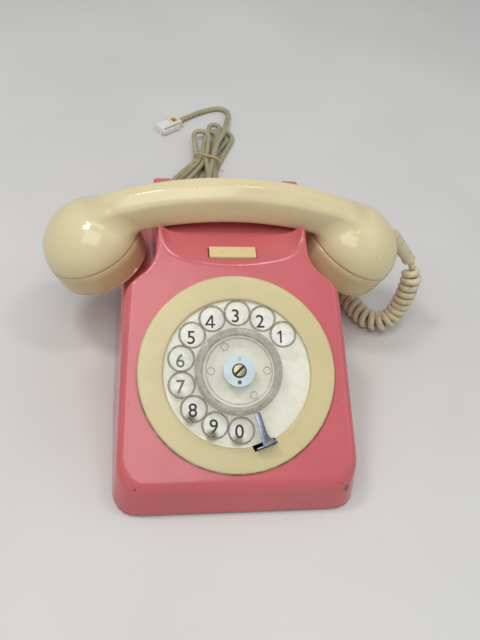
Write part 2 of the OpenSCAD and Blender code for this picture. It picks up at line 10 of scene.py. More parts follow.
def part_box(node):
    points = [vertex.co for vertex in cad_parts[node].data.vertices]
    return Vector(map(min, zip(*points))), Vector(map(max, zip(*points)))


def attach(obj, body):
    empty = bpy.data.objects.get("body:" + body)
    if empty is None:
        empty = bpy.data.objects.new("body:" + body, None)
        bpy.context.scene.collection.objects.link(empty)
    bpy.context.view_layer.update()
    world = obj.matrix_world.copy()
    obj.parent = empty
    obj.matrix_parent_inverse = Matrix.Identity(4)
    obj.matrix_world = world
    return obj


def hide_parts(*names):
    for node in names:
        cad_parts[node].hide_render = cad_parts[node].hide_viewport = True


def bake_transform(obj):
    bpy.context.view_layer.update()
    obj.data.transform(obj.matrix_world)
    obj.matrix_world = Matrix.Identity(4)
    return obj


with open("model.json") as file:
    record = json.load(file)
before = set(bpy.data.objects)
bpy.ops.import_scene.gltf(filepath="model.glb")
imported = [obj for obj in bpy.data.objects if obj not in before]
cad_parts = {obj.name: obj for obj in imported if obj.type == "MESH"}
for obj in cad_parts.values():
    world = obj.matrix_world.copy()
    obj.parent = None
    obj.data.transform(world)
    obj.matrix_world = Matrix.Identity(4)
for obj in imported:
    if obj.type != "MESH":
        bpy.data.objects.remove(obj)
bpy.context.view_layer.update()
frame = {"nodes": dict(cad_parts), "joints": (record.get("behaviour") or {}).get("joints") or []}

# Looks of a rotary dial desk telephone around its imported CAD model. Lengths are in metres, except
# where a comment says millimetres.
nodes = frame["nodes"]
joints = {joint["name"]: joint for joint in frame["joints"]}
MM = 0.001
QUARTER_TURN = math.pi / 2


# ---- camera ----

CAMERA_PLACE = Vector((-0.0614, -0.3130, 0.3925))
CAMERA_DOWN, CAMERA_TURN, CAMERA_ROLL = (math.radians(a) for a in (47.03, -12.34, 8.96))
CAMERA_LENS = 43.41


def make_camera():
    data = bpy.data.cameras.new("camera")
    data.lens, data.sensor_width = CAMERA_LENS, 36
    data.clip_start = 0.01
    camera = bpy.data.objects.new("camera", data)
    camera.matrix_world = (Matrix.Translation(CAMERA_PLACE) @ Matrix.Rotation(CAMERA_TURN, 4, "Z")
                           @ Matrix.Rotation(math.pi / 2 - CAMERA_DOWN, 4, "X")
                           @ Matrix.Rotation(CAMERA_ROLL, 4, "Z"))
    bpy.context.scene.collection.objects.link(camera)
    bpy.context.scene.camera = camera


make_camera()


# ---- where things are, from the CAD model ----

def node_middle(name):
    low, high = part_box(name)
    return (low + high) / 2


PANEL_SLOPE = math.radians(30.5)
DIAL = Vector(joints["dial_turn"]["pos_m"])
ON_PANEL = Matrix.Translation(DIAL) @ Matrix.Rotation(PANEL_SLOPE, 4, "X")
CRADLE_Y = node_middle("handset_body").y
BUTTON = node_middle("press_button")
EXIT_CURLY = (0.022, 0.105, 0.0075)


# ---- materials ----

class Graph:
    """A material's nodes, added one after the other."""

    def __init__(self, name):
        self.material = bpy.data.materials.new(name)
        self.material.use_nodes = True
        self.tree = self.material.node_tree
        self.tree.nodes.clear()
        self.place = self.add("ShaderNodeTexCoord").outputs["Object"]

    def add(self, kind, inputs=None, **settings):
        node = self.tree.nodes.new(kind)
        for key, value in settings.items():
            setattr(node, key, value)
        for key, value in (inputs or {}).items():
            if isinstance(value, bpy.types.NodeSocket):
                self.tree.links.new(value, node.inputs[key])
            else:
                node.inputs[key].default_value = value
        return node

    def noise(self, scale, detail, place=None):
        return self.add("ShaderNodeTexNoise", {"Vector": place or self.place, "Scale": scale,
                                               "Detail": detail, "Roughness": 0.55}).outputs["Fac"]

    def ramp(self, value, low, high, to_low=0.0, to_high=1.0):
        return self.add("ShaderNodeMapRange", {"Value": value, "From Min": low, "From Max": high,
                                               "To Min": to_low, "To Max": to_high},
                        interpolation_type="SMOOTHSTEP").outputs["Result"]

    def times(self, a, b):
        return self.add("ShaderNodeMath", {0: a, 1: b}, operation="MULTIPLY").outputs[0]

    def most(self, a, b):
        return self.add("ShaderNodeMath", {0: a, 1: b}, operation="MAXIMUM").outputs[0]

    def mix(self, factor, a, b):
        node = self.add("ShaderNodeMix", data_type="RGBA")
        for socket, value in ((node.inputs[0], factor), (node.inputs[6], a), (node.inputs[7], b)):
            if isinstance(value, bpy.types.NodeSocket):
                self.tree.links.new(value, socket)
            else:
                socket.default_value = value
        return node.outputs[2]

    def near(self, point, inner, outer):
        """1 within inner metres of a point, 0 beyond outer."""
        away = self.add("ShaderNodeVectorMath", {0: self.place, 1: point}, operation="DISTANCE")
        return self.ramp(away.outputs["Value"], inner, outer, 1.0, 0.0)

    def round_line(self, radius, width, low_side):
        """1 on a circle about the dial's axis, fading over a width; strongest on its low side."""
        local = self.add("ShaderNodeMapping", {"Vector": self.place, "Location": -DIAL},
                         vector_type="POINT").outputs["Vector"]
        turned = self.add("ShaderNodeMapping", {"Vector": local, "Rotation": (-PANEL_SLOPE, 0, 0)},
                          vector_type="POINT").outputs["Vector"]
        flat = self.add("ShaderNodeVectorMath", {0: turned, 1: (1, 1, 0)}, operation="MULTIPLY")
        away = self.add("ShaderNodeVectorMath", {0: flat.outputs["Vector"]}, operation="LENGTH")
        off = self.add("ShaderNodeMath", {0: away.outputs["Value"], 1: radius}, operation="SUBTRACT")
        off = self.add("ShaderNodeMath", {0: off.outputs[0]}, operation="ABSOLUTE").outputs[0]
        side = self.add("ShaderNodeSeparateXYZ", {0: flat.outputs["Vector"]}).outputs["Y"]
        return self.times(self.ramp(off, width * 0.3, width, 1.0, 0.0),
                          self.ramp(side, -low_side, low_side, 1.0, 0.0))

    def bump(self, height, strength, distance):
        return self.add("ShaderNodeBump", {"Height": height, "Strength": strength,
                                           "Distance": distance}).outputs["Normal"]

    def finish(self, **inputs):
        names = {key.replace("_", " ").title().replace("Ior", "IOR"): v for key, v in inputs.items()}
        shader = self.add("ShaderNodeBsdfPrincipled", names)
        self.add("ShaderNodeOutputMaterial", {"Surface": shader.outputs[0]})
        return self.material


def rgb(red, green, blue):
    """A linear colour from the 0 to 255 one that a screen shows."""
    def linear(c):
        c /= 255
        return c / 12.92 if c <= 0.04045 else ((c + 0.055) / 1.055) ** 2.4
    return (linear(red), linear(green), linear(blue), 1.0)


def shade(colour, factor):
    return tuple(min(1.0, c * factor) for c in colour[:3]) + (1.0,)


def moulded_plastic(name, colour, roughness, dirt, dirt_amount=0.5, edge=1.12, line=None, chips=()):
    """Glossy or satin moulding: clouded colour, dust specks, fine scratches, rubbed edges."""
    g = Graph(name)
    clouds = g.ramp(g.noise(18, 4), 0.3, 0.7)
    tone = g.mix(clouds, shade(colour, 0.955), shade(colour, 1.03))
    rubbed = g.ramp(g.add("ShaderNodeNewGeometry").outputs["Pointiness"], 0.52, 0.60)
    tone = g.mix(g.times(rubbed, 0.6), tone, shade(colour, edge))
    specks = g.ramp(g.noise(420, 2), 0.70, 0.76)
    patches = g.ramp(g.noise(38, 3), 0.52, 0.66)
    smear = g.times(g.times(specks, patches), dirt_amount)
    if line:
        # a brown line along the dial ring's outer edge, strongest on its low side
        ring_edge_line = g.times(g.round_line(*line), g.ramp(g.noise(240, 3), 0.25, 0.60))
        tone = g.mix(g.times(ring_edge_line, 0.75), tone, rgb(112, 72, 48))
    tone = g.mix(smear, tone, dirt)
    for point, inner, outer in chips:
        tone = g.mix(g.times(g.near(point, inner, outer), g.ramp(g.noise(900, 2), 0.3, 0.5)), tone,
                     shade(dirt, 0.3))
    scratch_place = g.add("ShaderNodeMapping", {"Vector": g.place, "Rotation": (0.2, 0.5, 0.9),
                                                "Scale": (1.0, 9.0, 2.5)}).outputs["Vector"]
    scratches = g.noise(260, 2, place=scratch_place)
    rough = g.ramp(g.noise(60, 4), 0.3, 0.7, roughness * 0.85, roughness * 1.25)
    peel = g.bump(g.noise(150, 2), 0.06, 0.0004)
    normal = g.add("ShaderNodeBump", {"Height": scratches, "Strength": 0.035, "Distance": 0.0002,
                                      "Normal": peel}).outputs["Normal"]
    return g.finish(base_color=tone, roughness=rough, normal=normal, specular_ior_level=0.5)


def metal(name, colour, roughness, grain=900, tarnish=0.25, metallic=1.0):
    g = Graph(name)
    lines = g.noise(grain, 3)
    stains = g.ramp(g.noise(90, 4), 0.42, 0.68)
    tone = g.mix(g.times(stains, tarnish), colour, shade(colour, 0.45))
    rough = g.ramp(lines, 0.3, 0.7, roughness * 0.8, roughness * 1.3)
    return g.finish(base_color=tone, roughness=rough, metallic=metallic,
                    normal=g.bump(lines, 0.12, 0.0002))


def dull(name, colour, roughness, grain=500, spread=0.12):
    g = Graph(name)
    field = g.noise(grain, 4)
    tone = g.mix(g.ramp(field, 0.3, 0.7), shade(colour, 1 - spread), shade(colour, 1 + spread))
    return g.finish(base_color=tone, roughness=roughness, normal=g.bump(field, 0.25, 0.0003))


def winding(name, colour):
    """Lacquered copper wire in close turns, with painted shade between the turns and a painted highlight on
    each.
    """
    g = Graph(name)
    turns = g.add("ShaderNodeTexWave", {"Vector": g.place, "Scale": 900.0, "Distortion": 0.4},
                  bands_direction="Z").outputs["Fac"]
    # bands darker between the turns and lighter on them: painted shade and painted highlight of the round
    # wire
    tone = g.mix(turns, shade(colour, 0.5), shade(colour, 1.3))
    return g.finish(base_color=tone, roughness=0.35, normal=g.bump(turns, 0.5, 0.0003))


def clear_plastic(name, colour, alpha, roughness):
    """Clear plastic as a thin tinted film, so that what lies under it shows."""
    g = Graph(name)
    haze = g.ramp(g.noise(160, 4), 0.35, 0.75)
    tone = g.mix(haze, shade(colour, 0.92), shade(colour, 1.05))
    film = g.ramp(g.noise(220, 4), 0.30, 0.72, alpha * 0.82, alpha * 1.25)
    scratches = g.noise(500, 3)
    return g.finish(base_color=tone, roughness=roughness, alpha=film,
                    normal=g.bump(scratches, 0.05, 0.0002), specular_ior_level=0.6)


# ---- meshes ----

SHARP_ANGLE = math.radians(32)
WELD = 1e-7  # points closer than this are one


def make_piece(name, mesh, material, body):
    """An object that shows a mesh and rides on a body, where one is named."""
    piece = bpy.data.objects.new(name, mesh)
    bpy.context.scene.collection.objects.link(piece)
    mesh.materials.append(material)
    if body:
        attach(piece, body)
    return piece


def add_mesh(name, points, faces, material, body):
    mesh = bpy.data.meshes.new(name)
    mesh.from_pydata([tuple(map(float, p)) for p in points], [], [tuple(map(int, f)) for f in faces])
    mesh.update()
    mesh.shade_smooth()
    return make_piece(name, mesh, material, body)


def smooth_by_angle(piece):
    """Smooth shading that breaks at the sharp edges."""
    piece.data.set_sharp_from_angle(angle=SHARP_ANGLE)
    return piece


def distance_along(points):
    """How far along a line each of its points is."""
    return np.concatenate([[0], np.cumsum(np.linalg.norm(np.diff(points, axis=0), axis=1))])


def points_at(points, along, at):
    """The places on a line at given distances along it."""
    return np.column_stack([np.interp(at, along, points[:, i]) for i in range(3)])


def curve_through(points, step):
    """Points a step apart along the smooth curve through a route's points."""
    p = np.array(points, float)
    p = np.vstack([2 * p[0] - p[1], p, 2 * p[-1] - p[-2]])
    out = []
    for a, b, c, d in zip(p[:-3], p[1:-2], p[2:-1], p[3:]):
        t = np.linspace(0, 1, 24, endpoint=False)[:, None]
        out.append(0.5 * (2 * b + (c - a) * t + (2 * a - 5 * b + 4 * c - d) * t ** 2
                          + (3 * b - a - 3 * c + d) * t ** 3))
    fine = np.vstack(out + [p[-2:-1]])
    along = distance_along(fine)
    count = max(2, int(round(along[-1] / step)) + 1)
    at = np.linspace(0, along[-1], count)
    return points_at(fine, along, at), at


def unit_rows(v):
    return v / np.linalg.norm(v, axis=1, keepdims=True)


def carried_frame(path):
    """Two sideways directions at each point, carried along without twist."""
    heading = unit_rows(np.gradient(path, axis=0))
    start = np.cross(heading[0], (0, 0, 1) if abs(heading[0][2]) < 0.9 else (0, 1, 0))
    sides = [start / np.linalg.norm(start)]
    for h in heading[1:]:
        s = sides[-1] - np.dot(sides[-1], h) * h
        sides.append(s / np.linalg.norm(s))
    sides = np.array(sides)
    return sides, np.cross(heading, sides)


def tube(name, path, radius, material, body, sides=12):
    """A closed round tube along a path. radius is one number or one for each point."""
    path = np.array(path, float)
    radius = np.broadcast_to(np.asarray(radius, float), (len(path),))
    side, up = carried_frame(path)
    angle = np.linspace(0, 2 * math.pi, sides, endpoint=False)
    ring = np.cos(angle)[None, :, None] * side[:, None] + np.sin(angle)[None, :, None] * up[:, None]
    points = (path[:, None] + radius[:, None, None] * ring).reshape(-1, 3)
    i, k = np.meshgrid(np.arange(len(path) - 1), np.arange(sides), indexing="ij")
    a, b = i * sides + k, i * sides + (k + 1) % sides
    faces = np.stack([a, b, b + sides, a + sides], axis=-1).reshape(-1, 4).tolist()
    last = (len(path) - 1) * sides
    faces += [list(range(sides))[::-1], [last + k for k in range(sides)]]
    return add_mesh(name, points, faces, material, body)


def lathe(name, profile, place, material, body, segments=128, closed=True):
    """A profile of (radius, height) points turned about the Z axis of a place."""
    angle = np.linspace(0, 2 * math.pi, segments, endpoint=False)
    r, h = np.array(profile, float).T
    points = np.stack([np.outer(np.cos(angle), r), np.outer(np.sin(angle), r),
                       np.broadcast_to(h, (segments, len(r)))], axis=-1).reshape(-1, 3)
    count = len(profile)
    faces = []
    for s in range(segments):
        t = (s + 1) % segments
        for j in range(count if closed else count - 1):
            n = (j + 1) % count
            faces.append([s * count + j, t * count + j, t * count + n, s * count + n])
    bm = bmesh.new()
    vertices = [bm.verts.new(place @ Vector(p)) for p in points]
    for face in faces:
        bm.faces.new([vertices[v] for v in face])
    bmesh.ops.remove_doubles(bm, verts=bm.verts, dist=WELD)
    bmesh.ops.recalc_face_normals(bm, faces=bm.faces)
    return from_bmesh(name, bm, material, body)


def from_bmesh(name, bm, material, body):
    mesh = bpy.data.meshes.new(name)
    bm.to_mesh(mesh)
    bm.free()
    mesh.shade_smooth()
    return smooth_by_angle(make_piece(name, mesh, material, body))


def plate(name, outlines, bottom, top, place, material, body, bevel=0.0003, bevel_steps=3):
    """A flat plate with rounded edges: the first outline is its rim, the others are its holes."""
    data = bpy.data.curves.new(name, "CURVE")
    data.dimensions, data.fill_mode = "2D", "BOTH"
    data.extrude = (top - bottom) / 2 - bevel
    data.bevel_depth, data.bevel_resolution = bevel, bevel_steps
    data.offset = -bevel
    for outline in outlines:
        spline = data.splines.new("POLY")
        spline.points.add(len(outline) - 1)
        for point, (x, y) in zip(spline.points, outline):
            point.co = (x, y, 0, 1)
        spline.use_cyclic_u = True
    temporary = bpy.data.objects.new(name + "_outline", data)
    bpy.context.scene.collection.objects.link(temporary)
    mesh = bpy.data.meshes.new_from_object(temporary.evaluated_get(
        bpy.context.evaluated_depsgraph_get()))
    bpy.data.objects.remove(temporary)
    bpy.data.curves.remove(data)
    bm = bmesh.new()
    bm.from_mesh(mesh)
    bpy.data.meshes.remove(mesh)
    bmesh.ops.remove_doubles(bm, verts=bm.verts, dist=WELD)
    lift = Matrix.Translation((0, 0, (top + bottom) / 2))
    bmesh.ops.transform(bm, verts=bm.verts, matrix=place @ lift)
    bmesh.ops.recalc_face_normals(bm, faces=bm.faces)
    return from_bmesh(name, bm, material, body)


def circle(radius, segments, centre=(0, 0)):
    return [(centre[0] + radius * math.cos(a), centre[1] + radius * math.sin(a))
            for a in np.linspace(0, 2 * math.pi, segments, endpoint=False)]


def box_outline(x0, y0, x1, y1):
    return [(x0, y0), (x1, y0), (x1, y1), (x0, y1)]


def rounded_box(x0, y0, x1, y1, corner, steps):
    """Outline of a box with round corners, from the lower right one on."""
    right, left, low, high = x1 - corner, x0 + corner, y0 + corner, y1 - corner
    return [(cx + corner * math.cos(a), cy + corner * math.sin(a))
            for quarter, (cx, cy) in enumerate(((right, low), (right, high), (left, high), (left, low)))
            for a in np.linspace((quarter - 1) * QUARTER_TURN, quarter * QUARTER_TURN, steps + 1)]


def round_max(a, b, r):
    """Where two solids meet: the intersection of their distances, its outer edge rounded by r."""
    return (np.minimum(-r, np.maximum(a, b))
            + np.hypot(np.maximum(a + r, 0), np.maximum(b + r, 0)))


def round_min(a, b, r):
    """The union of two distances, its inner corner filled to radius r."""
    return -round_max(-a, -b, r)


PULLS = 5  # how often a point is pulled onto the surface


def surface_of(distance, low, high, step):
    """Points and four-sided faces of the surface where distance(x, y, z) is zero."""
    axes = [np.arange(low[i] - step, high[i] + 2 * step, step) for i in range(3)]
    inside = distance(*np.meshgrid(*axes, indexing="ij")) < 0
    size = np.array(inside.shape)
    count = np.zeros(size - 1, np.int8)
    for i, j, k in np.ndindex(2, 2, 2):
        count += inside[i:size[0] - 1 + i, j:size[1] - 1 + j, k:size[2] - 1 + k]
    crossed = (count > 0) & (count < 8)
    index = np.full(crossed.shape, -1)
    index[crossed] = np.arange(crossed.sum())
    cells = np.argwhere(crossed)
    start = np.stack([axes[i][cells[:, i]] + step / 2 for i in range(3)], axis=1)
    points = start.copy()
    nudge, reach = step * 0.05, step * 0.75
    for _ in range(PULLS):
        here = distance(*points.T)
        slope = np.stack([distance(*(points + nudge * np.eye(3)[i]).T) - here for i in range(3)],
                         axis=1) / nudge
        points -= slope * (here / np.maximum((slope ** 2).sum(axis=1), 0.1))[:, None]
        points = np.clip(points, start - reach, start + reach)
    faces = []
    for a in range(3):
        b, c = (a + 1) % 3, (a + 2) % 3
        below = np.take(inside, range(size[a] - 1), axis=a)
        above = np.take(inside, range(1, size[a]), axis=a)
        edges = np.argwhere(below != above)
        edges = edges[(edges[:, b] > 0) & (edges[:, c] > 0)
                      & (edges[:, b] < size[b] - 1) & (edges[:, c] < size[c] - 1)]
        rings = []
        for back_b, back_c in ((1, 1), (0, 1), (0, 0), (1, 0)):
            cell = edges.copy()
            cell[:, b] -= back_b
            cell[:, c] -= back_c
            rings.append(index[tuple(cell.T)])
        quads = np.stack(rings, axis=1)
        outward = below[tuple(edges.T)]
        quads[~outward] = quads[~outward][:, ::-1]
        faces.append(quads)
    return points, np.vstack(faces)


# ---- cords ----

CURL_D, WIRE_D, LINE_D = 0.0144, 0.0046, 0.0041
CURL_PITCH = 0.0051
POINTS_PER_TURN = 16
CURLY_ROUTE = [
    (0.022, 0.1053, 0.0075), (0.022, 0.109, 0.0075), (0.024, 0.115, 0.0075), (0.030, 0.1205, 0.0075),
    (0.040, 0.1245, 0.0075), (0.052, 0.126, 0.0075), (0.064, 0.124, 0.0075), (0.075, 0.119, 0.0075),
    (0.084, 0.111, 0.0075), (0.090, 0.100, 0.0075), (0.093, 0.088, 0.0075), (0.094, 0.076, 0.0075),
    (0.095, 0.064, 0.0075), (0.097, 0.053, 0.0075), (0.101, 0.044, 0.0075), (0.106, 0.0375, 0.0076),
    (0.113, 0.0345, 0.0086), (0.120, 0.0355, 0.0125), (0.1245, 0.0375, 0.020), (0.1265, 0.039, 0.029),
    (0.1276, 0.0405, 0.037), (0.1282, 0.0423, 0.044), (0.128, 0.0446, 0.050), (0.1263, 0.0459, 0.0543),
    (0.1238, 0.046, 0.0574)]
CURLY_PLAIN = (0.006, 0.007)  # plain wire at the case's end and at the handset's end
CURLY_EASE = 0.006  # over which the coil opens to its full width
TABLE_GAP = 0.0001
LEAD_ROUTE = [
    (-0.022, 0.1053, 0.0075), (-0.022, 0.111, 0.0069), (-0.022, 0.117, 0.0046), (-0.021, 0.123, 0.003),
    (-0.018, 0.129, 0.0026), (-0.015, 0.133, 0.0026), (-0.012, 0.137, 0.0026)]
TAIL_ROUTE = [
    (0.0142, 0.232, 0.0135), (0.0215, 0.252, 0.011), (0.026, 0.270, 0.007), (0.028, 0.281, 0.005),
    (0.030, 0.288, 0.0044), (0.031, 0.295, 0.0034), (0.030, 0.301, 0.0028),
    (0.026, 0.3045, 0.0026), (0.020, 0.3045, 0.0026), (0.012, 0.301, 0.0026), (0.004, 0.2965, 0.0026),
    (-0.004, 0.2905, 0.0026), (-0.011, 0.2845, 0.003), (-0.0156, 0.280, 0.0036)]
BAND_PLACE = Vector((0.0052, 0.2155))
BAND_TURN = math.radians(-23)  # the band lies askew
# Each folded turn, in millimetres: far loop's middle and radius, near loop's middle and radius,
# then how far its two runs pass the band's middle, and their heights there
HANK_TURNS = (
    ((25.5, 260.0), 6.4, (-5.0, 156.0), 17.0, (8.0, 2.1), (3.8, 2.1)),
    ((20.5, 255.0), 5.6, (-3.0, 164.0), 14.0, (-0.4, 2.1), (-4.6, 2.1)),
    ((12.0, 258.0), 5.6, (-11.0, 158.0), 19.0, (6.2, 6.0), (-2.2, 6.0)),
    ((15.8, 267.5), 5.4, (-16.0, 164.0), 18.0, (2.0, 6.2), (-6.6, 6.0)),
    ((3.0, 253.0), 7.0, (-13.0, 168.0), 20.0, (-0.6, 10.0), (-9.0, 6.4)))
HANK_FLOOR = 2.1  # height of the lowest cord's middle, in millimetres
FAR_RISE, NEAR_RISE = 1.5, 2.0  # from one turn to the next, at the far loops and at the near ones
TAIL_OVER = (4.6, 10.4)  # where the tail passes the band's middle, and how high
TAIL_LOOP, TAIL_LOOP_Z = 0.7, 11.0  # size of its near loop against the last turn's, and its height
LINE_STEP, LINE_SOFTENING = 0.002, 7


def cord_plastic(name, colour, dirt):
    g = Graph(name)
    tone = g.mix(g.ramp(g.noise(45, 4), 0.3, 0.7), shade(colour, 0.86), shade(colour, 1.08))
    tone = g.mix(g.times(g.ramp(g.noise(260, 3), 0.56, 0.72), 0.5), tone, dirt)
    fine = g.noise(1400, 2)
    return g.finish(base_color=tone, roughness=g.ramp(fine, 0.3, 0.7, 0.36, 0.5),
                    normal=g.bump(fine, 0.10, 0.0001), specular_ior_level=0.45)


def curly_cord(material):
    route, along = curve_through(CURLY_ROUTE, 0.0003)
    side, up = carried_frame(route)
    coil_start, coil_end = CURLY_PLAIN[0], along[-1] - CURLY_PLAIN[1]
    opening = np.clip((along - coil_start) / CURLY_EASE, 0, 1)
    swell = opening * np.clip((coil_end - along) / CURLY_EASE, 0, 1)
    swell = swell * swell * (3 - 2 * swell)
    turn = 2 * math.pi * (along - coil_start) / CURL_PITCH
    radius = (CURL_D - WIRE_D) / 2 * swell
    line = route + radius[:, None] * (np.cos(turn)[:, None] * side + np.sin(turn)[:, None] * up)
    spacing = distance_along(line)
    count = int(spacing[-1] / (math.pi * (CURL_D - WIRE_D) / POINTS_PER_TURN))
    line = points_at(line, spacing, np.linspace(0, spacing[-1], count))
    line[:, 2] = np.maximum(line[:, 2], WIRE_D / 2 + TABLE_GAP)
    cord = tube("curly_handset_cord", line, WIRE_D / 2, material, None)
    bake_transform(cord)
    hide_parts("curly_cord")


def loop(centre, radius, height, degrees):
    """Points round one end of a folded turn."""
    return [(centre[0] + radius * math.cos(a), centre[1] + radius * math.sin(a), height)
            for a in np.radians(degrees)]


def hank_turns():
    """The folded part of the line cord, from its lead to its tail."""
    middle = np.array(BAND_PLACE) / MM
    along_band = np.array((math.cos(BAND_TURN), math.sin(BAND_TURN)))

    def in_band(offset, height):
        return (*(middle + offset * along_band), height)

    corners = []
    for layer, (far, far_r, near, near_r, right, left) in enumerate(HANK_TURNS):
        far_z, near_z = HANK_FLOOR + FAR_RISE * layer, HANK_FLOOR + NEAR_RISE * layer
        corners += loop(near, near_r, near_z, (-90, -60, -30, 0, 25))
        corners.append(in_band(*right))
        corners += loop(far, far_r, far_z, range(-20, 201, 20))
        corners.append(in_band(*left))
        corners += loop(near, near_r, near_z, (155, 180, 210, 240))
    _, _, near, near_r, _, _ = HANK_TURNS[-1]
    corners += loop(near, TAIL_LOOP * near_r, TAIL_LOOP_Z, (270, 300, 330, 365))
    corners.append(in_band(*TAIL_OVER))
    return np.array(corners) * MM


def evenly(points, step):
    """Points a step apart along the straight runs between corners."""
    along = distance_along(points)
    return points_at(points, along, np.linspace(0, along[-1], int(along[-1] / step) + 1))


def line_cord(material, plug):
    line = evenly(np.vstack([LEAD_ROUTE, hank_turns(), TAIL_ROUTE]), LINE_STEP)
    for _ in range(LINE_SOFTENING):
        line[1:-1] = 0.25 * line[:-2] + 0.5 * line[1:-1] + 0.25 * line[2:]
    line[:, 2] = np.maximum(line[:, 2], LINE_D / 2 + TABLE_GAP)
    cord = tube("line_cord", line, LINE_D / 2, material, "telephone")
    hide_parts("line_cord_lead", "line_cord_hank", "line_cord_tail")
    band = rubber_band()


def rubber_band():
    """A thin band drawn tight round the hank, slightly askew."""
    half, top, corner, thick = 0.0112, 0.0132, 0.0045, 0.0009
    outline = rounded_box(-half, 0, half, top, corner, 8)
    outline.append(outline[0])
    path = [(BAND_PLACE.x + x * math.cos(BAND_TURN), BAND_PLACE.y + x * math.sin(BAND_TURN), z + thick)
            for x, z in outline]
    fine, _ = curve_through(path, 0.0012)
    rubber = dull("band_rubber", rgb(196, 160, 104), 0.5)
    band = tube("rubber_band", fine, thick, rubber, "telephone", 8)
    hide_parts("cord_band")
    return band


PLUG = Matrix.Translation((*TAIL_ROUTE[-1][:2], 0)) @ Matrix.Rotation(math.radians(217), 4, "Z")


def cord_plug(cream, white, brown):
    """A small flat plug: a cream rear with a square well, a white nose and a sprung side latch."""
    parts = [("rear_low", [box_outline(0.0001, -0.0057, 0.0090, 0.0057)], 0.0, 0.0050, cream),
             ("rear_top", [box_outline(0.0001, -0.0057, 0.0090, 0.0057),
                           box_outline(0.0022, -0.0030, 0.0072, 0.0024)], 0.0046, 0.0072, cream),
             ("well", [box_outline(0.0024, -0.0028, 0.0070, 0.0022)], 0.0046, 0.0054, brown),
             ("nose", [box_outline(0.0088, -0.0047, 0.0220, 0.0047)], 0.0, 0.0064, white),
             ("latch", [box_outline(0.0040, 0.0066, 0.0220, 0.0078)], 0.0015, 0.0055, white),
             ("latch_root", [box_outline(0.0198, 0.0044, 0.0220, 0.0070)], 0.0015, 0.0055, white)]
    pieces = []
    for name, outlines, low, high, material in parts:
        piece = plate("plug_" + name, outlines, low, high, PLUG, material, "telephone", 0.0003, 2)
        pieces.append(piece)
    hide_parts("plug")
    return pieces


CORD_CREAM = rgb(214, 202, 168)
CORD_GREY = rgb(166, 158, 126)
CORD_DIRT = rgb(96, 84, 60)
curly_cord(cord_plastic("curly_cord_plastic", CORD_CREAM, CORD_DIRT))
line_cord(cord_plastic("line_cord_plastic", CORD_GREY, CORD_DIRT),
          cord_plug(dull("plug_cream", rgb(226, 214, 184), 0.4, 700, 0.05),
                    dull("plug_white", rgb(226, 224, 220), 0.3, 700, 0.04),
                    dull("plug_brown", rgb(140, 108, 66), 0.5)))


# ---- case ----

IVORY = rgb(219, 204, 161)
PINK = rgb(201, 98, 102)
DIRT = rgb(92, 66, 44)

# Sizes of the case in millimetres, from the middle of the telephone and from the table
CASE_LIFT, WALL = 1.25, 2.6
HALF_DEPTH, HALF_WIDTH = 105, 69.6
LIP = (-102.6, 23)  # where the front meets the dial panel
BACK_EDGE = (72.5, 98.5)  # where the back ends under the rear horns
SIDE_LEAN = 0.09  # of the side walls, for each millimetre of height
SIDE_TAPER, TAPER_FROM = 0.027, -30  # of the side walls towards the back
FRONT_CORNER_R, BACK_CORNER_R, EDGE_R, LIP_R, RIM_R = 17, 12, 4.5, 5.0, 1.2
FRONT_TOP, REAR_TOP, TOP_SPLIT = 99.9, 101.5, 45
TROUGH_FRONT, TROUGH_BACK, TROUGH_HEIGHT = 33, 59.4, 87.5
FRONT_HORN_EDGE, REAR_HORN_EDGE = (31.4, 99.6), (62.5, 101.5)
SCOOP_FLOOR, SCOOP_BOW, SCOOP_LIP, SCOOP_HALF, SCOOP_POWER = 88.5, 0.0021, 6.5, 42, 12
SCOOP_REACH, SCOOP_FADE = 44.5, 0.6
NECK_HALF, NECK_Y = 43.1, 29  # half width of the neck where it is thinnest, and where that is
NECK_FORWARD, NECK_BACK = 0.105, 0.044  # how fast the neck widens from there
RECESS_FLOOR, RECESS_SLANT = (44, 58), math.radians(23)
RECESS_ENDS, RECESS_MOUTH = (9, 83), 45.2
END_RUN, END_RISE = 14.8, 10.6
RECESS_CORNER_R, RECESS_FLOOR_R, RECESS_RIM_R = 5.0, 7.0, 2.2
GAP_HALF, GAP_Y, GAP_FLOOR = 34.5, 58.4, 90.0  # between the rear horns
CARRY_HALF, CARRY_Y, CARRY_Z, CARRY_R = 38, 68, (50, 78), 1.5
BOSSES, BOSS_R, BOSS_FOOT = ((52, -78), (50, 66)), 4.2, 5.6
DIAL_HOLE_R, DIAL_HOLE_REACH = 45.9, 12
PLUNGER_X, PLUNGER_HOLE_R, PLUNGER_FROM = 33, 2.7, 60
BUTTON_HOLE, BUTTON_FROM = (14.1, 4.6), 78
ENTRY_R, ENTRY_FROM = 4.25, 85


def past_line(u, v, start, end):
    """Distance beyond the line from start to end, on its right hand."""
    du, dv = end[0] - start[0], end[1] - start[1]
    return ((u - start[0]) * dv - (v - start[1]) * du) / math.hypot(du, dv)


